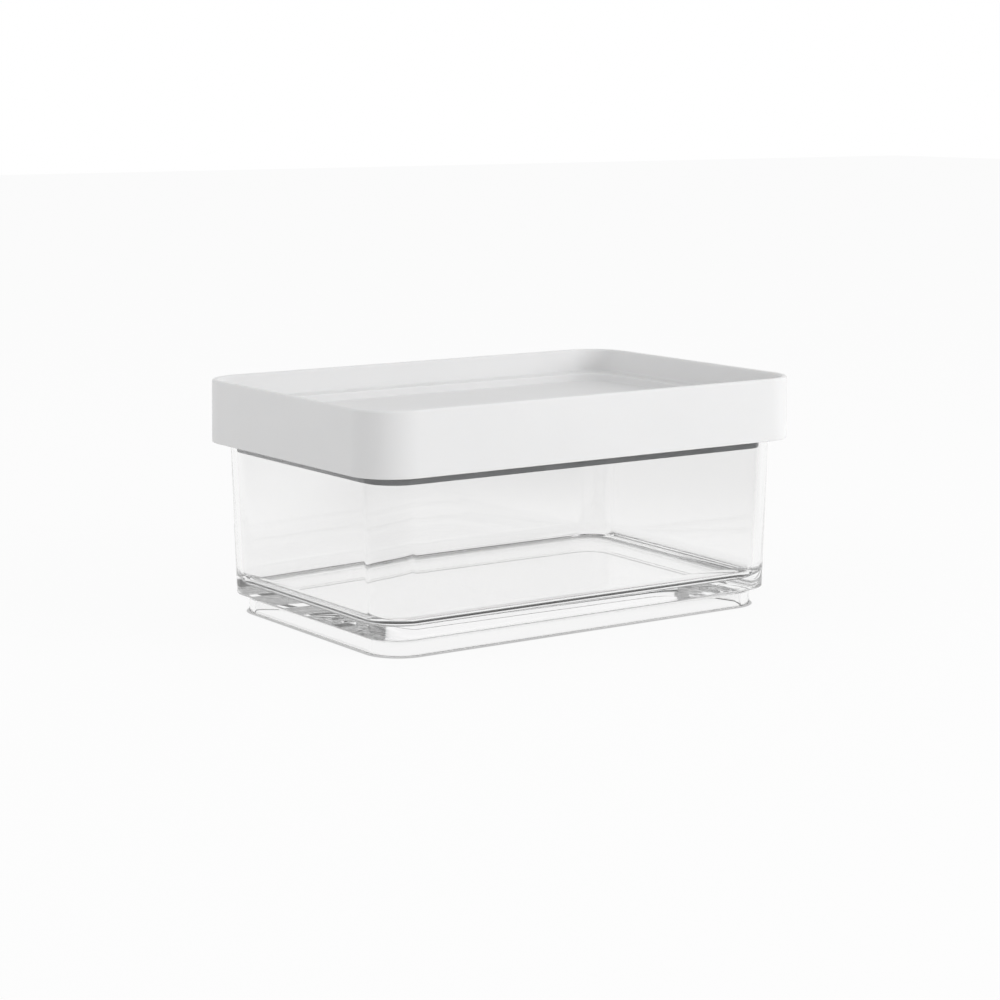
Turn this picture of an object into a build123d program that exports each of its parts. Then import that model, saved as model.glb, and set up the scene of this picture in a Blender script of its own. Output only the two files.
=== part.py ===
from build123d import *
import math
import os

# A clear moulded storage box with an inset stacking foot, an opaque white lid whose tray takes
# the foot of the next box, and a soft seal ring on the lid's plug.
# Frame: +X along the length, +Y along the width, +Z up. The origin is the centre of the face
# that the foot stands on. Millimetres and degrees.

# ---- Lid, outside ----
lid_length = 175.0          # at the skirt's lower edge
lid_width = 118.1           # at the skirt's lower edge
lid_corner = 15.8           # corner radius at the skirt's lower edge
lid_draft = 0.9             # the skirt narrows upwards
lid_height = 21.5           # skirt's lower edge to the top of the rim
skirt_edge = 59.2           # height of the skirt's lower edge above the ground
skirt_wall = 2.0
rim_wall = 2.2              # thickness of the raised rim at its top

# ---- Lid, stacking tray ----
tray_depth = 8.2            # rim top to the ledge
tray_corner = 12.6          # corner radius of the tray's mouth
tray_draft = 1.5
seat_depth = 2.9            # ledge to the seat floor that carries the next box
seat_clearance = 0.35       # round the next box's foot
plate = 2.0                 # thickness of the ledge and of the seat floor
seat_wall = 1.4             # thickness of the wall between the ledge and the seat floor

# ---- Lid, plug and seal ----
plug_drop = 3.2             # how far the seal reaches below the skirt
plug_wall = 1.6             # plug thickness behind the seal
seal_band = 0.9             # thickness of the seal's outer leg and of its inner leg
seal_sole = 1.0             # thickness under the plug's edge
seal_height = 4.6
seal_gap = 0.3              # seal to the container's wall, not pressed in
seal_fit = 0.04             # seal to the plug, all round

# ---- Container, outside ----
skirt_overhang = 5.5        # lid's lower edge to the container's wall, at that height
body_corner = 12.4          # corner radius at the skirt's lower edge
body_draft = 1.5            # the outside widens upwards
foot_height = 6.2
foot_step = 2.7             # how far the foot stands inside the body's lower edge
foot_corner = 12.0
foot_draft = 1.5
lip_width = 1.4             # outward lip round the rim
lip_height = 2.4

# ---- Container, inside ----
wall = 2.3                  # wall thickness at the skirt's lower edge
cavity_corner = 10.6        # corner radius of the inside at the skirt's lower edge
cavity_draft = 2.4          # the inside widens upwards more than the outside
floor_height = 9.8          # height of the inside floor above the foot's lower face
floor_plate = 4.4           # thickness of the floor
foot_wall = 2.8             # thickness of the foot ring at its lower edge
foot_ring_draft = 3.0       # the hollow under the floor widens downwards

# ---- Edges ----
lid_rim_fillet = 0.8
lid_inner_fillet = 0.8
skirt_edge_fillet = 0.35
cavity_fillet = 5.0
under_fillet = 1.2          # under the floor, inside the foot ring
foot_edge_fillet = 0.4
body_edge_fillet = 0.6
lip_fillet = 0.5

# ---- Derived heights ----
total_height = skirt_edge + lid_height
ledge_top = total_height - tray_depth
seat_top = ledge_top - seat_depth
rim_top = ledge_top - plate             # the lid's ledge rests on the container's rim
seal_bottom = skirt_edge - plug_drop
overshoot = 2.0                         # how far a cutting tool passes a face


def spread(rise, draft):
    """Change of a length or width, both sides together, over a rise at a draft angle."""
    return 2 * rise * math.tan(math.radians(draft))


def block(length, width, corner, bottom, top, draft=0.0):
    """Rounded rectangular block; its sizes are those of its lower face, and draft narrows it."""
    face = Plane.XY.offset(bottom) * RectangleRounded(length, width, corner)
    return extrude(face, top - bottom, taper=draft)


def edges_at(solid, height):
    """Edges of a solid that lie in the plane of one height."""
    return solid.edges().filter_by_position(Axis.Z, height - 0.01, height + 0.01)


# ---- Container outlines, from the lid and the named walls ----
def body_size(height):
    """Outer length, width and corner radius of the container's wall at a height."""
    change = spread(height - skirt_edge, body_draft)
    return (
        lid_length - 2 * skirt_overhang + change,
        lid_width - 2 * skirt_overhang + change,
        body_corner + change / 2,
    )


def cavity_size(height):
    """Inner length, width and corner radius of the container's wall at a height."""
    change = spread(height - skirt_edge, cavity_draft)
    return (
        lid_length - 2 * (skirt_overhang + wall) + change,
        lid_width - 2 * (skirt_overhang + wall) + change,
        cavity_corner + change / 2,
    )


body_bottom = body_size(foot_height)
foot_top = (body_bottom[0] - 2 * foot_step, body_bottom[1] - 2 * foot_step, foot_corner)
foot_narrowing = spread(foot_height, foot_draft)
foot_bottom = tuple(size - change for size, change in
                    zip(foot_top, (foot_narrowing, foot_narrowing, foot_narrowing / 2)))


def make_container():
    """The clear box: tapered wall, rim lip, stacking foot, and the hollow inside."""
    body = block(*body_bottom, foot_height, rim_top, -body_draft)
    body = fillet(edges_at(body, foot_height), body_edge_fillet)
    lip_length, lip_span, lip_corner = body_size(rim_top)
    lip = block(lip_length + 2 * lip_width, lip_span + 2 * lip_width, lip_corner + lip_width,
                rim_top - lip_height, rim_top)
    lip = fillet(edges_at(lip, rim_top - lip_height) + edges_at(lip, rim_top), lip_fillet)
    foot = block(*foot_bottom, 0, foot_height + overshoot, -foot_draft)
    foot = fillet(edges_at(foot, 0), foot_edge_fillet)

    hollow = block(*cavity_size(floor_height), floor_height, rim_top + overshoot, -cavity_draft)
    hollow = fillet(edges_at(hollow, floor_height), cavity_fillet)
    under_top = floor_height - floor_plate
    under = block(foot_bottom[0] - 2 * foot_wall, foot_bottom[1] - 2 * foot_wall,
                  foot_bottom[2] - foot_wall, 0, under_top, foot_ring_draft)
    under = fillet(edges_at(under, under_top), under_fillet)
    return body + lip + foot - hollow - under


def make_lid():
    """The white lid: skirt and rim outside, tray and seat on top, plug underneath."""
    shell = block(lid_length, lid_width, lid_corner, skirt_edge, total_height, lid_draft)
    shell = fillet(edges_at(shell, total_height), lid_rim_fillet)
    shell = fillet(edges_at(shell, skirt_edge), skirt_edge_fillet)

    rim_change = spread(lid_height, lid_draft)
    tray_change = spread(tray_depth, tray_draft)
    tray = block(lid_length - rim_change - 2 * rim_wall - tray_change,
                 lid_width - rim_change - 2 * rim_wall - tray_change,
                 tray_corner - tray_change / 2, ledge_top, total_height, -tray_draft)
    tray = fillet(edges_at(tray, ledge_top), lid_inner_fillet)
    seat_length = foot_top[0] + 2 * seat_clearance
    seat_width = foot_top[1] + 2 * seat_clearance
    seat_corner = foot_top[2] + seat_clearance
    seat = block(seat_length, seat_width, seat_corner, seat_top, ledge_top + overshoot)
    seat = fillet(edges_at(seat, seat_top), lid_inner_fillet)

    # the neck's corners share the plug's centres, so that the plug's wall never breaks through them
    plug_outside = plug_size(seal_band + seal_fit)
    plug_inside = plug_size(seal_band + seal_fit + plug_wall)
    neck_length = seat_length + 2 * seat_wall
    neck = block(neck_length, seat_width + 2 * seat_wall,
                 plug_outside[2] + (neck_length - plug_outside[0]) / 2, seat_top - plate, rim_top)
    groove = block(lid_length - 2 * skirt_wall, lid_width - 2 * skirt_wall, lid_corner - skirt_wall,
                   skirt_edge - overshoot, rim_top, lid_draft)
    plug = block(*plug_outside, seal_bottom + seal_sole + seal_fit, seat_top - plate / 2)
    hollow = block(*plug_inside, seal_bottom - overshoot, seat_top - plate)
    top = shell - (groove - neck) - tray - seat
    return top + plug - hollow


def plug_size(inset):
    """Length, width and corner radius of the plug, at an inset from the seal's outer face."""
    length, width, corner = cavity_size(seal_bottom)
    return (length - 2 * (seal_gap + inset), width - 2 * (seal_gap + inset),
            corner - seal_gap - inset)


def make_seal_ring():
    """The soft ring: a channel section pushed on the lower edge of the plug."""
    band = block(*plug_size(0), seal_bottom, seal_bottom + seal_height)
    inner = block(*plug_size(2 * (seal_band + seal_fit) + plug_wall), seal_bottom - overshoot,
                  seal_bottom + seal_height + overshoot)
    channel_outside = block(*plug_size(seal_band), seal_bottom + seal_sole,
                            seal_bottom + seal_height + overshoot)
    channel_inside = block(*plug_size(seal_band + 2 * seal_fit + plug_wall),
                           seal_bottom + seal_sole - overshoot,
                           seal_bottom + seal_height + 2 * overshoot)
    return band - inner - (channel_outside - channel_inside)


if __name__ == "__main__":
    os.makedirs("parts", exist_ok=True)
    pieces = {
        "container": make_container(),
        "lid": make_lid(),
        "seal_ring": make_seal_ring(),
    }
    for name, piece in pieces.items():
        piece.label = name
        export_step(piece, f"parts/{name}.step")
        print(name, "volume", round(piece.volume / 1000, 2), "cm3", piece.bounding_box().size)
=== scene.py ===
import logging
import math
from dataclasses import dataclass, field
from enum import Enum
from typing import ClassVar

import bmesh
import bpy
from mathutils import Matrix, Vector


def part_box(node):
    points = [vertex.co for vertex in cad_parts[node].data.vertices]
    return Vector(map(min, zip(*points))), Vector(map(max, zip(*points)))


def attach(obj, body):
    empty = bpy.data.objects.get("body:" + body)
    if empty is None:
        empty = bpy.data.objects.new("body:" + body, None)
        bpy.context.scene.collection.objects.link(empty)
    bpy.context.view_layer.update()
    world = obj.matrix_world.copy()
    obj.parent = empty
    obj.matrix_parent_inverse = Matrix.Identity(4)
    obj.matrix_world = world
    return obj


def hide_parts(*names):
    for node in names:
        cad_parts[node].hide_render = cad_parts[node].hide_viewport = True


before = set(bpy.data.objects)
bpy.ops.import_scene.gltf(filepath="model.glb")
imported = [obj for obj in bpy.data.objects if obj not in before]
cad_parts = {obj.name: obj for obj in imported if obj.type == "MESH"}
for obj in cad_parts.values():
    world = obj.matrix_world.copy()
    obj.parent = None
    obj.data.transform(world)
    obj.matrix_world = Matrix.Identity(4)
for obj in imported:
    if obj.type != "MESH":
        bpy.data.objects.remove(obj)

LOG = logging.getLogger("storage_box")
MM = 0.001                      # one millimetre in metres


# ---------------------------------------------------------------- node trees
class NodeSketch:
    """Adds nodes to a node tree and joins them, so that a tree reads as a short recipe."""

    def __init__(self, tree: bpy.types.NodeTree) -> None:
        """Starts a sketch.

        Args:
            tree: The tree that the nodes go into.
        """
        self.tree = tree

    def add(self, kind: str, **settings: object) -> bpy.types.Node:
        """Adds one node.

        Args:
            kind: The node's type name.
            settings: Node properties to set, by name.

        Returns:
            The new node.
        """
        node = self.tree.nodes.new(kind)
        for name, value in settings.items():
            setattr(node, name, value)
        return node

    def feed(self, socket: bpy.types.NodeSocket, value: object) -> None:
        """Sets an input socket to a number or colour, or joins it to an output socket.

        Args:
            socket: The input socket.
            value: A plain value, or the output socket to join it to.
        """
        if isinstance(value, bpy.types.NodeSocket):
            self.tree.links.new(value, socket)
        else:
            socket.default_value = value

    def math(self, operation: str, *values: object, clamp: bool = False) -> bpy.types.NodeSocket:
        """Adds a Math node.

        Args:
            operation: The Math node's operation.
            values: Numbers or sockets for its inputs, in order.
            clamp: Whether the result is held between 0 and 1.

        Returns:
            The result socket.
        """
        node = self.add("ShaderNodeMath", operation=operation, use_clamp=clamp)
        for socket, value in zip(node.inputs, values):
            self.feed(socket, value)
        return node.outputs[0]

    def map_range(self, value: object, low: float, high: float, to_low: float, to_high: float,
                  smooth: bool = False) -> bpy.types.NodeSocket:
        """Adds a Map Range node, clamped.

        Args:
            value: The number or socket to map.
            low: Value that gives to_low.
            high: Value that gives to_high.
            to_low: Result at low.
            to_high: Result at high.
            smooth: Whether the step between them is smooth.

        Returns:
            The result socket.
        """
        node = self.add("ShaderNodeMapRange",
                        interpolation_type="SMOOTHSTEP" if smooth else "LINEAR")
        for socket, number in zip(node.inputs, (value, low, high, to_low, to_high)):
            self.feed(socket, number)
        return node.outputs[0]

    def noise(self, coordinates: bpy.types.NodeSocket, scale: float, detail: float = 2.0,
              roughness: float = 0.5) -> bpy.types.NodeSocket:
        """Adds a Noise Texture.

        Args:
            coordinates: The vector that it reads.
            scale: Its scale, in cycles a metre.
            detail: Its octaves.
            roughness: The weight of the finer octaves.

        Returns:
            The noise value, from 0 to 1.
        """
        node = self.add("ShaderNodeTexNoise")
        self.feed(node.inputs["Vector"], coordinates)
        node.inputs["Scale"].default_value = scale
        node.inputs["Detail"].default_value = detail
        node.inputs["Roughness"].default_value = roughness
        return node.outputs["Fac"]

    def mix_colour(self, factor: object, first: object, second: object) -> bpy.types.NodeSocket:
        """Adds a colour Mix node.

        Args:
            factor: Number or socket, 0 for the first colour and 1 for the second.
            first: Colour or socket.
            second: Colour or socket.

        Returns:
            The mixed colour.
        """
        node = self.add("ShaderNodeMix", data_type="RGBA")
        self.feed(node.inputs[0], factor)
        self.feed(node.inputs[6], first)
        self.feed(node.inputs[7], second)
        return node.outputs[2]


# ------------------------------------------------------------------ finishes
Colour = tuple[float, float, float, float]


def grey(level: float) -> Colour:
    """A neutral colour of one level."""
    return (level, level, level, 1.0)


@dataclass(frozen=True)
class MouldedFinish:
    """What the moulded finishes share: a base colour, a gloss and a fine relief."""

    name: str
    colour: Colour
    tint: Colour                # colour of the faint flow clouds
    roughness: float
    roughness_spread: float     # how far the gloss wanders either way
    cloud_scale: float          # cycles a metre
    grain_scale: float          # cycles a metre
    relief: float               # depth of the grain, metres
    relief_strength: float

    CLOUD_EDGES: ClassVar[tuple[float, float]] = (0.35, 0.65)   # noise, clear to cloudy
    SMEAR_EDGES: ClassVar[tuple[float, float]] = (0.3, 0.7)
    SMEARS_PER_CLOUD: ClassVar[float] = 2.7

    def shade(self, shader: bpy.types.Node) -> None:
        """Sets the sockets that only this kind of finish has."""

    def material(self) -> bpy.types.Material:
        """Builds the node material.

        Returns:
            The material, ready to go on a mesh.
        """
        made = bpy.data.materials.new(self.name)
        made.use_nodes = True
        made.node_tree.nodes.clear()
        sketch = NodeSketch(made.node_tree)
        place = sketch.add("ShaderNodeTexCoord").outputs["Object"]
        shader = sketch.add("ShaderNodeBsdfPrincipled")
        clouds = sketch.noise(place, self.cloud_scale, 3.0)
        sketch.feed(shader.inputs["Base Color"],
                    sketch.mix_colour(sketch.map_range(clouds, *self.CLOUD_EDGES, 0.0, 1.0),
                                      self.colour, self.tint))
        smears = sketch.noise(place, self.cloud_scale * self.SMEARS_PER_CLOUD, 4.0, 0.6)
        sketch.feed(shader.inputs["Roughness"],
                    sketch.map_range(smears, *self.SMEAR_EDGES,
                                     self.roughness - self.roughness_spread,
                                     self.roughness + self.roughness_spread))
        bump = sketch.add("ShaderNodeBump")
        bump.inputs["Strength"].default_value = self.relief_strength
        bump.inputs["Distance"].default_value = self.relief
        sketch.feed(bump.inputs["Height"], sketch.noise(place, self.grain_scale, 2.0))
        sketch.feed(shader.inputs["Normal"], bump.outputs["Normal"])
        self.shade(shader)
        output = sketch.add("ShaderNodeOutputMaterial")
        sketch.feed(output.inputs["Surface"], shader.outputs["BSDF"])
        return made


@dataclass(frozen=True)
class ClearFinish(MouldedFinish):
    """Rigid clear plastic with the slow waviness of a moulded wall."""

    ior: float = 1.57

    def shade(self, shader: bpy.types.Node) -> None:
        """Lets light through at the plastic's own index."""
        shader.inputs["Transmission Weight"].default_value = 1.0
        shader.inputs["IOR"].default_value = self.ior


@dataclass(frozen=True)
class OpaqueFinish(MouldedFinish):
    """Opaque white plastic with a satin moulded skin."""

    specular: float = 0.45
    scatter: float = 0.08       # share of light that enters the skin and comes out again
    scatter_reach: tuple[float, float, float] = (1.2 * MM, 1.1 * MM, 1.0 * MM)

    def shade(self, shader: bpy.types.Node) -> None:
        """Sets the satin skin.

        Args:
            shader: The material's Principled shader.
        """
        shader.inputs["Specular IOR Level"].default_value = self.specular
        shader.inputs["Subsurface Weight"].default_value = self.scatter
        shader.inputs["Subsurface Radius"].default_value = self.scatter_reach
        shader.inputs["Subsurface Scale"].default_value = 1.0


@dataclass(frozen=True)
class ElastomerFinish(MouldedFinish):
    """Soft seal rubber, part translucent and matt."""

    clearness: float = 0.25
    ior: float = 1.41

    def shade(self, shader: bpy.types.Node) -> None:
        """Lets a little light through."""
        shader.inputs["Transmission Weight"].default_value = self.clearness
        shader.inputs["IOR"].default_value = self.ior


class Finish(Enum):
    """The finishes of the box, by piece."""

    CLEAR_WALL = ClearFinish(
        name="clear_plastic_wall",
        colour=(0.967, 0.966, 0.965, 1.0), tint=(0.972, 0.971, 0.970, 1.0),
        roughness=0.004, roughness_spread=0.003, cloud_scale=14.0, grain_scale=26.0,
        relief=0.02 * MM, relief_strength=0.25)
    WHITE_LID = OpaqueFinish(
        name="white_moulded_plastic",
        colour=(0.83, 0.83, 0.832, 1.0), tint=(0.845, 0.845, 0.846, 1.0),
        roughness=0.36, roughness_spread=0.04, cloud_scale=22.0, grain_scale=2600.0,
        relief=0.02 * MM, relief_strength=0.18)
    SOFT_SEAL = ElastomerFinish(
        name="soft_seal_rubber",
        colour=(0.78, 0.79, 0.81, 1.0), tint=(0.81, 0.82, 0.835, 1.0),
        roughness=0.5, roughness_spread=0.06, cloud_scale=60.0, grain_scale=1800.0,
        relief=0.03 * MM, relief_strength=0.3)

    def material(self) -> bpy.types.Material:
        """The finish's material, built once and shared after that."""
        return bpy.data.materials.get(self.value.name) or self.value.material()


# ------------------------------------------------------------ section shapes
@dataclass(frozen=True)
class RingPoint:
    """One corner of a section: a ring's half length, corner radius and height, in metres."""

    reach: float
    corner: float
    height: float
    fillet: float = 0.0


@dataclass(frozen=True)
class DraftedWall:
    """A wall that leans: its ring at one height, and how fast it widens upwards."""

    reach: float
    corner: float
    height: float
    draft: float                # degrees, positive where the wall widens upwards

    def at(self, height: float, inset: float = 0.0, fillet: float = 0.0) -> RingPoint:
        """The wall's ring at a height.

        Args:
            height: Height of the ring.
            inset: How far inside the wall the ring is.
            fillet: Fillet radius of the section there.

        Returns:
            The ring as a section point.
        """
        change = (height - self.height) * math.tan(math.radians(self.draft)) - inset
        return RingPoint(self.reach + change, self.corner + change, height, fillet)


@dataclass
class Section:
    """A section of the box from ring to ring, whose corners are rounded.

    A closed section is a hoop. An open one starts and ends at the middle of the box.
    """

    MOST_OF_SIDE: ClassVar[float] = 0.49    # share of a side that a fillet may take

    points: list[RingPoint]
    closed: bool = False
    arc_step: float = 7.5       # degrees between rings round a fillet
    support: float = 0.12 * MM  # distance of the holding ring beside a fillet

    def rings(self) -> list[RingPoint]:
        """Every ring that the loft passes through.

        Returns:
            The rings in order, with fillets as arcs. A closed section repeats its first ring.
        """
        found: list[RingPoint] = []
        count = len(self.points)
        for index, point in enumerate(self.points):
            if not self.closed and index in (0, count - 1):
                found.append(point)
                continue
            found += self._corner(self.points[index - 1], point,
                                  self.points[(index + 1) % count])
        if self.closed:
            found.append(found[0])
        return found

    def _corner(self, before: RingPoint, point: RingPoint, after: RingPoint) -> list[RingPoint]:
        """Rings round one corner of the section.

        Args:
            before: The corner before it.
            point: The corner itself.
            after: The corner after it.

        Returns:
            A holding ring, the arc's rings and another holding ring.
        """
        origin = Vector((point.reach, point.height))
        back = Vector((before.reach, before.height)) - origin
        ahead = Vector((after.reach, after.height)) - origin
        turn = math.pi - back.angle(ahead)
        tangent = point.fillet * math.tan(turn / 2)
        room = self.MOST_OF_SIDE * min(back.length, ahead.length)
        radius = point.fillet * min(1.0, room / tangent) if tangent else 0.0
        tangent = radius * math.tan(turn / 2)
        start, end = back.normalized() * tangent, ahead.normalized() * tangent
        bisector = (back.normalized() + ahead.normalized()).normalized()
        centre = bisector * (radius / math.cos(turn / 2))
        steps = max(2, math.ceil(math.degrees(turn) / self.arc_step))
        offsets = [back.normalized() * (tangent + min(self.support, room - tangent))]
        sweep = (start - centre).angle_signed(end - centre)
        for step in range(steps + 1):
            offsets.append(centre + _turned(start - centre, sweep * step / steps))
        offsets.append(ahead.normalized() * (tangent + min(self.support, room - tangent)))
        return [self._ring(point, before, after, back, ahead, offset) for offset in offsets]

    @staticmethod
    def _ring(point: RingPoint, before: RingPoint, after: RingPoint, back: Vector, ahead: Vector,
              offset: Vector) -> RingPoint:
        """The ring at an offset from a corner, its corner radius following both faces.

        Args:
            point: The corner.
            before: The corner before it.
            after: The corner after it.
            back: From the corner to the one before.
            ahead: From the corner to the one after.
            offset: From the corner to the ring.

        Returns:
            The ring.
        """
        scale = back.x * ahead.y - back.y * ahead.x
        along_back = (offset.x * ahead.y - offset.y * ahead.x) / scale
        along_ahead = (back.x * offset.y - back.y * offset.x) / scale
        corner = (point.corner + along_back * (before.corner - point.corner)
                  + along_ahead * (after.corner - point.corner))
        return RingPoint(point.reach + offset.x, corner, point.height + offset.y)


def _turned(vector: Vector, angle: float) -> Vector:
    """A 2D vector turned by an angle, in the sense that Vector.angle_signed measures."""
    cosine, sine = math.cos(angle), math.sin(angle)
    return Vector((vector.x * cosine + vector.y * sine, -vector.x * sine + vector.y * cosine))


class RingLoft:
    """Geometry Nodes tree that lofts a smooth shell through rounded rectangular rings.

    The modified mesh is a line with one vertex for each ring. Its height is the vertex's Z, and
    the attributes reach and corner hold the ring's half length and corner radius.
    """

    NAME = "rounded_ring_loft"
    CORNERS = 4
    RUN_IN = 0.3 * MM               # from a corner's arc to the holding edge beside it
    WELD = 0.0005 * MM

    def __init__(self) -> None:
        """Builds the tree."""
        self.tree = bpy.data.node_groups.new(self.NAME, "GeometryNodeTree")
        face = self.tree.interface
        face.new_socket("Rings", in_out="INPUT", socket_type="NodeSocketGeometry")
        self.inputs = {
            name: face.new_socket(name, in_out="INPUT", socket_type=kind).identifier
            for name, kind in (("Length Over Width", "NodeSocketFloat"),
                               ("Corner Segments", "NodeSocketInt"),
                               ("Corner Support", "NodeSocketFloat"),
                               ("Weld Distance", "NodeSocketFloat"),
                               ("Finish", "NodeSocketMaterial"))
        }
        face.new_socket("Shell", in_out="OUTPUT", socket_type="NodeSocketGeometry")
        self._build(NodeSketch(self.tree))

    def _build(self, sketch: NodeSketch) -> None:
        """Adds the tree's nodes.

        Args:
            sketch: The sketch of the tree.
        """
        given = sketch.add("NodeGroupInput").outputs
        segments = given["Corner Segments"]
        per_corner = sketch.math("ADD", segments, 3.0)
        around = sketch.math("MULTIPLY", per_corner, float(self.CORNERS))
        size = sketch.add("GeometryNodeAttributeDomainSize", component="MESH")
        sketch.feed(size.inputs["Geometry"], given["Rings"])
        rings = size.outputs["Point Count"]
        grid = sketch.add("GeometryNodeMeshGrid")
        last_ring = sketch.math("SUBTRACT", rings, 1.0)
        for name, value in (("Size X", around), ("Size Y", last_ring),
                            ("Vertices X", sketch.math("ADD", around, 1.0)),
                            ("Vertices Y", rings)):
            sketch.feed(grid.inputs[name], value)

        place = sketch.add("ShaderNodeSeparateXYZ")
        sketch.feed(place.inputs[0], sketch.add("GeometryNodeInputPosition").outputs[0])
        half = sketch.math("MULTIPLY", around, 0.5)
        step = sketch.math("ROUND", sketch.math("ADD", place.outputs["X"], half))
        half_rings = sketch.math("MULTIPLY", last_ring, 0.5)
        ring = sketch.math("ROUND", sketch.math("ADD", place.outputs["Y"], half_rings))
        step = sketch.math("MODULO", step, around)
        reach = self._sampled(sketch, given["Rings"], ring, "reach")
        corner = self._sampled(sketch, given["Rings"], ring, "corner")
        height = self._sampled(sketch, given["Rings"], ring, None)

        quarter = sketch.math("FLOOR", sketch.math("DIVIDE", sketch.math("ADD", step, 0.5),
                                                   per_corner))
        within = sketch.math("SUBTRACT", step, sketch.math("MULTIPLY", quarter, per_corner))
        along = sketch.math("DIVIDE", sketch.math("SUBTRACT", within, 1.0), segments)
        arc = sketch.math("ADD", along, 0.0, clamp=True)
        beyond = sketch.math("SIGN", sketch.math("SUBTRACT", along, arc))
        angle = sketch.math("MULTIPLY", sketch.math("ADD", quarter, arc), math.pi / 2)
        cosine, sine = sketch.math("COSINE", angle), sketch.math("SINE", angle)
        middle = sketch.math("MULTIPLY", sketch.math("ADD", quarter, 0.5), math.pi / 2)
        side_x = sketch.math("SIGN", sketch.math("COSINE", middle))
        side_y = sketch.math("SIGN", sketch.math("SINE", middle))
        shift = sketch.math("MULTIPLY", beyond, given["Corner Support"])
        half_width = sketch.math("SUBTRACT", reach, given["Length Over Width"])
        x = self._side(sketch, side_x, reach, corner, cosine, sketch.math("MULTIPLY", shift, sine),
                       "SUBTRACT")
        y = self._side(sketch, side_y, half_width, corner, sine,
                       sketch.math("MULTIPLY", shift, cosine), "ADD")
        open_ring = sketch.math("GREATER_THAN", reach, 0.0)
        target = sketch.add("ShaderNodeCombineXYZ")
        sketch.feed(target.inputs["X"], sketch.math("MULTIPLY", x, open_ring))
        sketch.feed(target.inputs["Y"], sketch.math("MULTIPLY", y, open_ring))
        sketch.feed(target.inputs["Z"], height)
        move = sketch.add("GeometryNodeSetPosition")
        sketch.feed(move.inputs["Geometry"], grid.outputs["Mesh"])
        sketch.feed(move.inputs["Position"], target.outputs[0])
        weld = sketch.add("GeometryNodeMergeByDistance")
        sketch.feed(weld.inputs["Geometry"], move.outputs["Geometry"])
        sketch.feed(weld.inputs["Distance"], given["Weld Distance"])
        smooth = sketch.add("GeometryNodeSetShadeSmooth")
        sketch.feed(smooth.inputs[0], weld.outputs["Geometry"])
        real = sketch.add("GeometryNodeRealizeInstances")
        sketch.feed(real.inputs[0], smooth.outputs[0])
        finish = sketch.add("GeometryNodeSetMaterial")
        sketch.feed(finish.inputs["Geometry"], real.outputs[0])
        sketch.feed(finish.inputs["Material"], given["Finish"])
        sketch.feed(sketch.add("NodeGroupOutput").inputs[0], finish.outputs["Geometry"])

    @staticmethod
    def _sampled(sketch: NodeSketch, rings: bpy.types.NodeSocket, index: bpy.types.NodeSocket,
                 attribute: str | None) -> bpy.types.NodeSocket:
        """Reads one number of a ring.

        Args:
            sketch: The sketch of the tree.
            rings: The line of rings.
            index: Which ring.
            attribute: The attribute's name, or None for the height.

        Returns:
            The number.
        """
        sample = sketch.add("GeometryNodeSampleIndex", data_type="FLOAT", domain="POINT")
        sketch.feed(sample.inputs["Geometry"], rings)
        sketch.feed(sample.inputs["Index"], index)
        if attribute:
            named = sketch.add("GeometryNodeInputNamedAttribute", data_type="FLOAT")
            named.inputs["Name"].default_value = attribute
            value = named.outputs["Attribute"]
        else:
            split = sketch.add("ShaderNodeSeparateXYZ")
            sketch.feed(split.inputs[0], sketch.add("GeometryNodeInputPosition").outputs[0])
            value = split.outputs["Z"]
        sketch.feed(sample.inputs["Value"], value)
        return sample.outputs[0]

    @staticmethod
    def _side(sketch: NodeSketch, side: bpy.types.NodeSocket, half: bpy.types.NodeSocket,
              corner: bpy.types.NodeSocket, share: bpy.types.NodeSocket,
              shift: bpy.types.NodeSocket, operation: str) -> bpy.types.NodeSocket:
        """One coordinate of a point on a rounded rectangle.

        Args:
            sketch: The sketch of the tree.
            side: Which side of the middle, 1 or -1.
            half: Half size of the ring that way.
            corner: Corner radius.
            share: Cosine or sine of the corner's angle.
            shift: How far the point is moved along the straight side.
            operation: ADD or SUBTRACT, for the shift.

        Returns:
            The coordinate.
        """
        centre = sketch.math("MULTIPLY", side, sketch.math("SUBTRACT", half, corner))
        point = sketch.math("MULTIPLY_ADD", corner, share, centre)
        return sketch.math(operation, point, shift)

    def shell(self, name: str, section: Section, length_over_width: float, finish: Finish,
              segments: int = 30) -> bpy.types.Object:
        """Lofts one piece and makes it a plain mesh.

        Args:
            name: The piece's name.
            section: Its section.
            length_over_width: Half length less half width, the same for every ring.
            finish: Its finish.
            segments: Facets in each corner.

        Returns:
            The piece's object, at the origin.
        """
        rings = section.rings()
        line = bpy.data.meshes.new(name + "_rings")
        line.from_pydata([(0.0, 0.0, ring.height) for ring in rings],
                         [(i, i + 1) for i in range(len(rings) - 1)], [])
        for key in ("reach", "corner"):
            attribute = line.attributes.new(key, "FLOAT", "POINT")
            attribute.data.foreach_set("value", [getattr(ring, key) for ring in rings])
        piece = bpy.data.objects.new(name, line)
        bpy.context.scene.collection.objects.link(piece)
        modifier = piece.modifiers.new("loft", "NODES")
        modifier.node_group = self.tree
        for key, value in (("Length Over Width", length_over_width), ("Corner Segments", segments),
                           ("Corner Support", self.RUN_IN), ("Weld Distance", self.WELD),
                           ("Finish", finish.material())):
            modifier[self.inputs[key]] = value
        bpy.context.view_layer.update()
        evaluated = piece.evaluated_get(bpy.context.evaluated_depsgraph_get())
        plain = bpy.data.meshes.new_from_object(evaluated)
        piece.modifiers.remove(modifier)
        piece.data = plain
        plain.name = name
        bpy.data.meshes.remove(line)
        _face_outwards(plain)
        return piece


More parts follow.
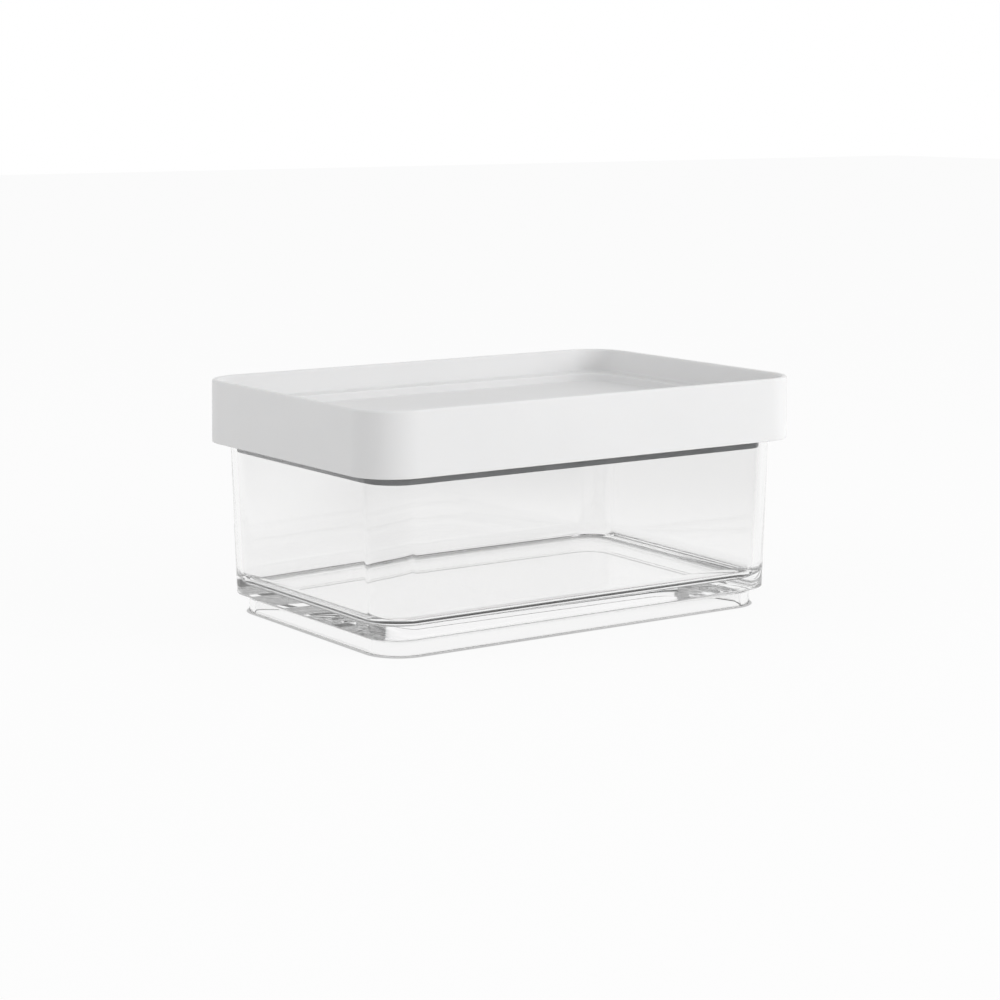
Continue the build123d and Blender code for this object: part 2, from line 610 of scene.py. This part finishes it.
def _face_outwards(mesh: bpy.types.Mesh, shortest_edge: float = 0.0002 * MM) -> None:
    """Turns a closed mesh's faces outwards and checks that it is closed.

    Args:
        mesh: The mesh.
        shortest_edge: Edges under this length are dissolved, in metres.
    """
    work = bmesh.new()
    work.from_mesh(mesh)
    bmesh.ops.dissolve_degenerate(work, dist=shortest_edge, edges=work.edges)
    open_edges = [edge for edge in work.edges if len(edge.link_faces) != 2]
    if open_edges:
        LOG.warning("%s has %d open edges", mesh.name, len(open_edges))
    bmesh.ops.recalc_face_normals(work, faces=work.faces)
    if work.calc_volume(signed=True) < 0:
        bmesh.ops.reverse_faces(work, faces=work.faces)
    LOG.info("%s: %d faces, %.2f cm3", mesh.name, len(work.faces), work.calc_volume() * 1e6)
    work.to_mesh(mesh)
    work.free()
    if not mesh.materials:
        LOG.warning("%s has no finish", mesh.name)


# ------------------------------------------------------------------- pieces
@dataclass
class Piece:
    """What every piece of the box has: its node, body, slot, finish and place in the frame."""

    loft: RingLoft
    node: str = ""
    body: str = ""
    slot: str = ""
    name: str = ""
    finish: Finish = Finish.WHITE_LID
    low: Vector = field(init=False)
    high: Vector = field(init=False)

    def __post_init__(self) -> None:
        """Reads the node's box from the frame."""
        self.low, self.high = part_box(self.node)

    def section(self) -> Section:
        """The piece's section."""
        raise NotImplementedError

    def build(self) -> bpy.types.Object:
        """Lofts the piece, puts it in place of its node and lets it ride on its body.

        Returns:
            The piece's object.
        """
        length_over_width = self.high.x - self.high.y
        piece = self.loft.shell(self.name, self.section(), length_over_width, self.finish)
        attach(piece, self.body)
        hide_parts(self.node)
        LOG.info("%s stands for %s on body %s", self.name, self.node, self.body)
        return piece


@dataclass
class Container(Piece):
    """The clear box: tapered wall with a lip, a floor, and a ring foot under it."""

    node: str = "container"
    body: str = "container"
    slot: str = "clear_plastic"
    name: str = "clear_container"
    finish: Finish = Finish.CLEAR_WALL
    lip_width: float = 1.4 * MM
    lip_height: float = 2.4 * MM
    wall: float = 2.3 * MM              # at the height of the lid's lower edge
    wall_height: float = 59.2 * MM      # where the wall has that thickness
    body_corner: float = 12.4 * MM
    cavity_corner: float = 10.6 * MM
    body_draft: float = 1.5
    cavity_draft: float = 2.4
    foot_height: float = 6.2 * MM
    foot_step: float = 2.7 * MM
    foot_corner: float = 12.0 * MM
    foot_draft: float = 1.5
    foot_wall: float = 2.8 * MM
    foot_ring_draft: float = 3.0
    floor_height: float = 9.8 * MM
    floor_plate: float = 4.4 * MM
    floor_fillet: float = 5.0 * MM
    ceiling_fillet: float = 1.2 * MM
    hollow_edge_fillet: float = 0.35 * MM
    sole_fillet: float = 0.4 * MM
    step_fillet: float = 0.15 * MM
    body_edge_fillet: float = 0.6 * MM
    lip_root_fillet: float = 0.2 * MM
    lip_fillet: float = 0.5 * MM
    rim_fillet: float = 0.3 * MM
    rim_gap: float = 0.02 * MM          # keeps the rim's face and the lid's apart

    def section(self) -> Section:
        """Section from the middle of the foot's hollow, round the wall, to the floor's middle.

        Returns:
            The open section.
        """
        rim = self.high.z
        change = (rim - self.wall_height) * math.tan(math.radians(self.body_draft))
        outside = DraftedWall(self.high.x - self.lip_width - change, self.body_corner,
                              self.wall_height, self.body_draft)
        inside = DraftedWall(outside.reach - self.wall, self.cavity_corner, self.wall_height,
                             self.cavity_draft)
        lip = outside.at(rim, -self.lip_width)
        body_foot = outside.at(self.foot_height)
        foot = DraftedWall(body_foot.reach - self.foot_step, self.foot_corner, self.foot_height,
                           self.foot_draft)
        sole = foot.at(0.0, fillet=self.sole_fillet)
        hollow = DraftedWall(sole.reach - self.foot_wall, sole.corner - self.foot_wall, 0.0,
                             -self.foot_ring_draft)
        ceiling = self.floor_height - self.floor_plate
        lip_bottom, rim_face = rim - self.lip_height, rim - self.rim_gap
        return Section([
            RingPoint(0.0, 0.0, ceiling),
            hollow.at(ceiling, fillet=self.ceiling_fillet),
            hollow.at(0.0, fillet=self.hollow_edge_fillet),
            sole,
            foot.at(self.foot_height, fillet=self.step_fillet),
            outside.at(self.foot_height, fillet=self.body_edge_fillet),
            outside.at(lip_bottom, fillet=self.lip_root_fillet),
            RingPoint(lip.reach, lip.corner, lip_bottom, self.lip_fillet),
            RingPoint(lip.reach, lip.corner, rim_face, self.lip_fillet),
            inside.at(rim_face, fillet=self.rim_fillet),
            inside.at(self.floor_height, fillet=self.floor_fillet),
            RingPoint(0.0, 0.0, self.floor_height),
        ])


@dataclass
class StackingLid(Piece):
    """The white lid: skirt and rim outside, stepped tray on top, plug underneath."""

    node: str = "lid"
    body: str = "lid"
    slot: str = "white_plastic"
    name: str = "stacking_lid"
    finish: Finish = Finish.WHITE_LID
    skirt_edge: float = 59.2 * MM
    skirt_corner: float = 15.8 * MM
    skirt_draft: float = 0.9
    skirt_wall: float = 2.0 * MM
    rim_wall: float = 2.2 * MM
    tray_depth: float = 8.2 * MM
    tray_corner: float = 12.6 * MM
    tray_draft: float = 1.5
    seat_depth: float = 2.9 * MM
    seat_reach_in: float = 9.238 * MM   # from the skirt's lower edge to the seat's wall
    seat_corner: float = 12.35 * MM
    seat_wall: float = 1.4 * MM
    plate: float = 2.0 * MM
    plug_reach_in: float = 9.174 * MM   # from the skirt's lower edge to the plug's wall
    plug_corner: float = 9.226 * MM
    plug_wall: float = 1.6 * MM
    rim_fillet: float = 0.8 * MM
    inner_fillet: float = 0.8 * MM
    ledge_fillet: float = 0.48 * MM
    skirt_edge_fillet: float = 0.35 * MM
    groove_fillet: float = 0.5 * MM
    hollow_fillet: float = 0.6 * MM
    plug_fillet: float = 0.25 * MM

    def section(self) -> Section:
        """Section from the middle of the underside, round the skirt, to the seat's middle.

        Returns:
            The open section.
        """
        top = self.high.z
        ledge = top - self.tray_depth
        seat = ledge - self.seat_depth
        under_ledge = ledge - self.plate
        under_seat = seat - self.plate
        skirt = DraftedWall(self.high.x, self.skirt_corner, self.skirt_edge, -self.skirt_draft)
        groove = DraftedWall(skirt.reach - self.skirt_wall, self.skirt_corner - self.skirt_wall,
                             self.skirt_edge, -self.skirt_draft)
        rim = skirt.at(top, fillet=self.rim_fillet)
        tray = DraftedWall(rim.reach - self.rim_wall, self.tray_corner, top, self.tray_draft)
        seat_reach = skirt.reach - self.seat_reach_in
        neck = seat_reach + self.seat_wall
        plug = skirt.reach - self.plug_reach_in
        neck_corner = self.plug_corner + neck - plug
        plug_inside = plug - self.plug_wall
        inside_corner = self.plug_corner - self.plug_wall
        small = self.plug_fillet
        return Section([
            RingPoint(0.0, 0.0, under_seat),
            RingPoint(plug_inside, inside_corner, under_seat, self.hollow_fillet),
            RingPoint(plug_inside, inside_corner, self.low.z, small),
            RingPoint(plug, self.plug_corner, self.low.z, small),
            RingPoint(plug, self.plug_corner, under_seat, small),
            RingPoint(neck, neck_corner, under_seat, small),
            RingPoint(neck, neck_corner, under_ledge, small),
            groove.at(under_ledge, fillet=self.groove_fillet),
            groove.at(self.skirt_edge, fillet=self.skirt_edge_fillet),
            skirt.at(self.skirt_edge, fillet=self.skirt_edge_fillet),
            rim,
            tray.at(top, fillet=self.inner_fillet),
            tray.at(ledge, fillet=self.inner_fillet),
            RingPoint(seat_reach, self.seat_corner, ledge, self.ledge_fillet),
            RingPoint(seat_reach, self.seat_corner, seat, self.inner_fillet),
            RingPoint(0.0, 0.0, seat),
        ])


@dataclass
class SealRing(Piece):
    """The soft ring on the plug's lower edge, a channel that opens upwards."""

    node: str = "seal_ring"
    body: str = "lid"
    slot: str = "soft_seal"
    name: str = "plug_seal"
    finish: Finish = Finish.SOFT_SEAL
    corner: float = 10.166 * MM
    band: float = 0.9 * MM
    sole: float = 1.0 * MM
    slot_width: float = 1.68 * MM       # the plug's wall and the fit on both sides of it
    lip_fillet: float = 0.4 * MM
    slot_fillet: float = 0.15 * MM
    support: float = 0.05 * MM          # distance of the holding ring beside a fillet

    def section(self) -> Section:
        """Section of the channel.

        Returns:
            The closed section.
        """
        outside = DraftedWall(self.high.x, self.corner, self.low.z, 0.0)
        bottom, top, sole = self.low.z, self.high.z, self.low.z + self.sole
        slot_out, slot_in = self.band, self.band + self.slot_width
        inside = slot_in + self.band
        lip, edge = self.lip_fillet, self.slot_fillet
        return Section([
            outside.at(bottom, fillet=lip),
            outside.at(top, fillet=lip),
            outside.at(top, slot_out, edge),
            outside.at(sole, slot_out, edge),
            outside.at(sole, slot_in, edge),
            outside.at(top, slot_in, edge),
            outside.at(top, inside, lip),
            outside.at(bottom, inside, lip),
        ], closed=True, support=self.support)


# -------------------------------------------------------------------- studio
@dataclass(frozen=True)
class SoftBox:
    """A square lamp that faces the middle of the box."""

    name: str
    place: tuple[float, float, float]   # metres
    size: float                         # side, in metres
    watts: float


@dataclass
class Studio:
    """Camera, lamps, floor and surroundings. None of it is part of the box."""

    LAMPS: ClassVar[tuple[SoftBox, ...]] = (
        SoftBox("key_front_right", (0.62, -1.1, 0.47), 0.7, 8.6),
        SoftBox("fill_left", (-1.0, 0.1, 0.7), 0.9, 2.5))
    AIM: ClassVar[tuple[float, float, float]] = (0.0, 0.0, 0.05)

    camera_place: Vector = field(default_factory=lambda: Vector((-0.48691, -0.70210, 0.18026)))
    camera_yaw: float = -0.6059
    camera_pitch: float = 0.1655
    lens: float = 89.703
    floor_reach: float = 4.0
    floor_drop: float = 0.05 * MM       # keeps the foot's face and the floor's apart
    clear_bounces: int = 96             # light turns many times inside the clear wall
    foot_half: tuple[float, float] = (77.75 * MM, 49.30 * MM)
    foot_corner: float = 11.84 * MM
    floor_grey: float = 0.86            # the floor's own colour, in the lamps' light
    floor_glow: float = 0.93            # share of the floor that is plain white to the eye
    painted_shadow_offset: float = -0.2 * MM   # middle of the painted contact shadow, a dark band round the foot, out from the foot's edge
    painted_shadow_width: float = 2.9 * MM     # from the band's middle to where it starts to fade
    # how far the painted contact shadow fades out
    painted_shadow_fade: float = 0.7 * MM
    painted_shadow_level: float = 0.03         # brightness of the painted contact shadow, as the clear plastic shows it
    painted_ring_shadow_reach: float = 0.7 * MM          # painted shadow ring round the foot that the camera sees, its reach out from the foot's edge
    painted_ring_shadow_fade: float = 1.8               # where that painted shadow ring ends, as a share of the ring's reach
    # brightness of the painted shadow ring
    painted_ring_shadow_level: float = 0.55
    under_level: float = 1.0            # floor under the box, as the clear plastic shows it
    floor_level: float = 0.985          # floor beyond it
    floor_blend: float = 0.03           # metres from the first to the second
    back_level: float = 0.985           # surroundings behind the box
    dim_from: float = -0.25             # cosine from the front where the surroundings dim
    dim_over: float = 0.25              # and over how much of it they do
    dim_level: float = 0.12
    dim_near: tuple[float, float] = (0.16, 0.30)    # metres out that dimming sets in over
    soft_light: float = 0.55            # the even light from all round

    def camera(self) -> None:
        """Makes the scene's camera."""
        yaw, pitch = self.camera_yaw, self.camera_pitch
        ahead = Vector((-math.sin(yaw) * math.cos(pitch), math.cos(yaw) * math.cos(pitch),
                        -math.sin(pitch)))
        right = Vector((math.cos(yaw), math.sin(yaw), 0.0))
        data = bpy.data.cameras.new("camera")
        data.lens = self.lens
        camera = bpy.data.objects.new("camera", data)
        turn = Matrix((right, right.cross(ahead), -ahead)).transposed().to_4x4()
        turn.translation = self.camera_place
        camera.matrix_world = turn
        bpy.context.scene.collection.objects.link(camera)
        bpy.context.scene.camera = camera

    def lamp(self, box: SoftBox) -> None:
        """Makes one lamp.

        Args:
            box: What it is and where it stands.
        """
        data = bpy.data.lights.new(box.name, "AREA")
        data.size = box.size
        data.energy = box.watts
        lamp = bpy.data.objects.new(box.name, data)
        aim = Vector(self.AIM) - Vector(box.place)
        lamp.matrix_world = (Matrix.Translation(Vector(box.place))
                             @ aim.to_track_quat("-Z", "Y").to_matrix().to_4x4())
        lamp.visible_glossy = lamp.visible_transmission = False     # no glare on the clear wall
        bpy.context.scene.collection.objects.link(lamp)

    def floor(self) -> None:
        """Makes the pale floor."""
        reach, drop = self.floor_reach, self.floor_drop
        mesh = bpy.data.meshes.new("floor")
        mesh.from_pydata([(-reach, -reach, -drop), (reach, -reach, -drop), (reach, reach, -drop),
                          (-reach, reach, -drop)], [], [(0, 1, 2, 3)])
        floor = bpy.data.objects.new("floor", mesh)
        bpy.context.scene.collection.objects.link(floor)
        mesh.materials.append(self._floor_material())

    @staticmethod
    def _seen(sketch: NodeSketch) -> tuple[bpy.types.NodeSocket, bpy.types.NodeSocket]:
        """Light Path sockets: camera rays, and glossy or transmission rays.

        The second leaves out rays that a matt surface has scattered, which only carry light.

        Args:
            sketch: The sketch of a material or the world.

        Returns:
            The two sockets, each 0 or 1.
        """
        path = sketch.add("ShaderNodeLightPath").outputs
        mirrored = sketch.math("MAXIMUM", path["Is Glossy Ray"], path["Is Transmission Ray"])
        direct = sketch.math("LESS_THAN", path["Diffuse Depth"], 0.5)
        return path["Is Camera Ray"], sketch.math("MULTIPLY", mirrored, direct)

    @staticmethod
    def _from_outline(sketch: NodeSketch, place: bpy.types.NodeSocket, half: tuple[float, float],
                      corner: float) -> bpy.types.NodeSocket:
        """Distance from a rounded rectangle about the origin, negative inside it.

        Args:
            sketch: The sketch of the material.
            place: The point's coordinates.
            half: Half length and half width.
            corner: Corner radius.

        Returns:
            The distance socket, in metres.
        """
        split = sketch.add("ShaderNodeSeparateXYZ")
        sketch.feed(split.inputs[0], place)
        over = []
        for axis, size in zip(("X", "Y"), half):
            away = sketch.math("ABSOLUTE", split.outputs[axis])
            over.append(sketch.math("SUBTRACT", away, size - corner))
        squares = [sketch.math("POWER", sketch.math("MAXIMUM", side, 0.0), 2.0) for side in over]
        outside = sketch.math("SQRT", sketch.math("ADD", *squares))
        inside = sketch.math("MINIMUM", sketch.math("MAXIMUM", *over), 0.0)
        return sketch.math("SUBTRACT", sketch.math("ADD", outside, inside), corner)

    def _floor_material(self) -> bpy.types.Material:
        """The floor's material: nearly all plain white to the eye, matt for the lamps' light.

        The clear plastic shows it with a painted contact shadow, a dark band where the foot stands
        on it, and the eye sees a fainter painted shadow ring round the foot.

        Returns:
            The material.
        """
        made = bpy.data.materials.new("pale_floor")
        made.use_nodes = True
        made.node_tree.nodes.clear()
        sketch = NodeSketch(made.node_tree)
        matt = sketch.add("ShaderNodeBsdfDiffuse")
        matt.inputs["Color"].default_value = grey(self.floor_grey)
        camera, mirrored = self._seen(sketch)
        place = sketch.add("ShaderNodeTexCoord").outputs["Object"]
        gap = self._from_outline(sketch, place, self.foot_half, self.foot_corner)
        # Painted contact shadow: a dark band round the foot's outline, which only the clear
        # plastic's rays see.
        from_painted_shadow_middle = sketch.math("ABSOLUTE", sketch.math("SUBTRACT", gap, self.painted_shadow_offset))
        painted_shadow_mask = sketch.map_range(from_painted_shadow_middle, self.painted_shadow_width,
                                   self.painted_shadow_width + self.painted_shadow_fade, 0.0, 1.0, smooth=True)
        beyond = sketch.map_range(gap, 0.0, self.floor_blend, self.under_level, self.floor_level,
                                  smooth=True)
        plastic_level_with_painted_shadow = sketch.math("MULTIPLY", beyond,
                                  sketch.map_range(painted_shadow_mask, 0.0, 1.0, self.painted_shadow_level, 1.0))
        plastic_level_with_painted_shadow = sketch.math("MULTIPLY", plastic_level_with_painted_shadow, self._sides(sketch, place))
        # Painted shadow ring round the foot, which the camera sees.
        painted_ring_shadow = sketch.map_range(gap, self.painted_ring_shadow_reach, self.painted_ring_shadow_reach * self.painted_ring_shadow_fade,
                                   self.painted_ring_shadow_level, 1.0, smooth=True)
        level = sketch.add("ShaderNodeMix", data_type="FLOAT")
        sketch.feed(level.inputs[0], camera)
        sketch.feed(level.inputs[2], plastic_level_with_painted_shadow)
        sketch.feed(level.inputs[3], painted_ring_shadow)
        glow = sketch.add("ShaderNodeEmission")
        sketch.feed(glow.inputs["Strength"], level.outputs[0])
        seen = sketch.math("MULTIPLY", sketch.math("MAXIMUM", camera, mirrored), self.floor_glow)
        mix = sketch.add("ShaderNodeMixShader")
        sketch.feed(mix.inputs[0], seen)
        sketch.feed(mix.inputs[1], matt.outputs[0])
        sketch.feed(mix.inputs[2], glow.outputs[0])
        sketch.feed(sketch.add("ShaderNodeOutputMaterial").inputs["Surface"], mix.outputs[0])
        return made

    def _sides(self, sketch: NodeSketch, direction: bpy.types.NodeSocket) -> bpy.types.NodeSocket:
        """How bright the surroundings are that way: full behind, dim at the sides and in front.

        The front is a fixed direction of the studio, the side that the main camera stands on.

        Args:
            sketch: The sketch of a material or the world.
            direction: The direction, or the floor point's coordinates.

        Returns:
            A factor from dim_level to 1.
        """
        front = Vector((self.camera_place.x, self.camera_place.y, 0.0)).normalized()
        flat = sketch.add("ShaderNodeVectorMath", operation="MULTIPLY")
        sketch.feed(flat.inputs[0], direction)
        flat.inputs[1].default_value = (1.0, 1.0, 0.0)
        unit = sketch.add("ShaderNodeVectorMath", operation="NORMALIZE")
        sketch.feed(unit.inputs[0], flat.outputs[0])
        facing = sketch.add("ShaderNodeVectorMath", operation="DOT_PRODUCT")
        sketch.feed(facing.inputs[0], unit.outputs[0])
        facing.inputs[1].default_value = front
        far = sketch.add("ShaderNodeVectorMath", operation="LENGTH")
        sketch.feed(far.inputs[0], flat.outputs[0])
        dim = sketch.map_range(facing.outputs["Value"], self.dim_from,
                               self.dim_from + self.dim_over, 1.0, self.dim_level, smooth=True)
        reached = sketch.map_range(far.outputs["Value"], *self.dim_near, 0.0, 1.0, smooth=True)
        return sketch.math("ADD", 1.0, sketch.math("MULTIPLY", reached,
                                                   sketch.math("SUBTRACT", dim, 1.0)))

    def surroundings(self) -> None:
        """Makes the world: white to the camera, an even soft light for matt surfaces.

        The clear plastic and glossy skins show it white behind the box and dim in front.
        """
        world = bpy.data.worlds.new("studio")
        bpy.context.scene.world = world
        world.use_nodes = True
        world.node_tree.nodes.clear()
        sketch = NodeSketch(world.node_tree)
        camera, mirrored = self._seen(sketch)
        direction = sketch.add("ShaderNodeTexCoord").outputs["Generated"]
        dim = sketch.math("MULTIPLY", self._sides(sketch, direction), self.back_level)
        level = sketch.math("MAXIMUM", camera, dim)
        lit = sketch.math("MAXIMUM", camera, mirrored)
        strength = sketch.add("ShaderNodeMix", data_type="FLOAT")
        sketch.feed(strength.inputs[0], lit)
        sketch.feed(strength.inputs[2], self.soft_light)
        sketch.feed(strength.inputs[3], level)
        glow = sketch.add("ShaderNodeBackground")
        sketch.feed(glow.inputs["Strength"], strength.outputs[0])
        glow.inputs["Color"].default_value = grey(1.0)
        sketch.feed(sketch.add("ShaderNodeOutputWorld").inputs["Surface"], glow.outputs[0])

    def build(self) -> None:
        """Sets up the whole studio."""
        self.camera()
        self.floor()
        self.surroundings()
        for box in self.LAMPS:
            self.lamp(box)
        scene = bpy.context.scene
        scene.view_settings.view_transform = "Standard"
        scene.cycles.max_bounces = scene.cycles.transmission_bounces = self.clear_bounces
        scene.cycles.glossy_bounces = self.clear_bounces
        LOG.info("studio ready")


def main() -> None:
    """Builds the box and its studio."""
    logging.basicConfig(level=logging.INFO, format="%(name)s %(message)s")
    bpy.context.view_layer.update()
    loft = RingLoft()
    for piece in (Container(loft), StackingLid(loft), SealRing(loft)):
        piece.build()
    Studio().build()


if __name__ == "__main__":
    main()
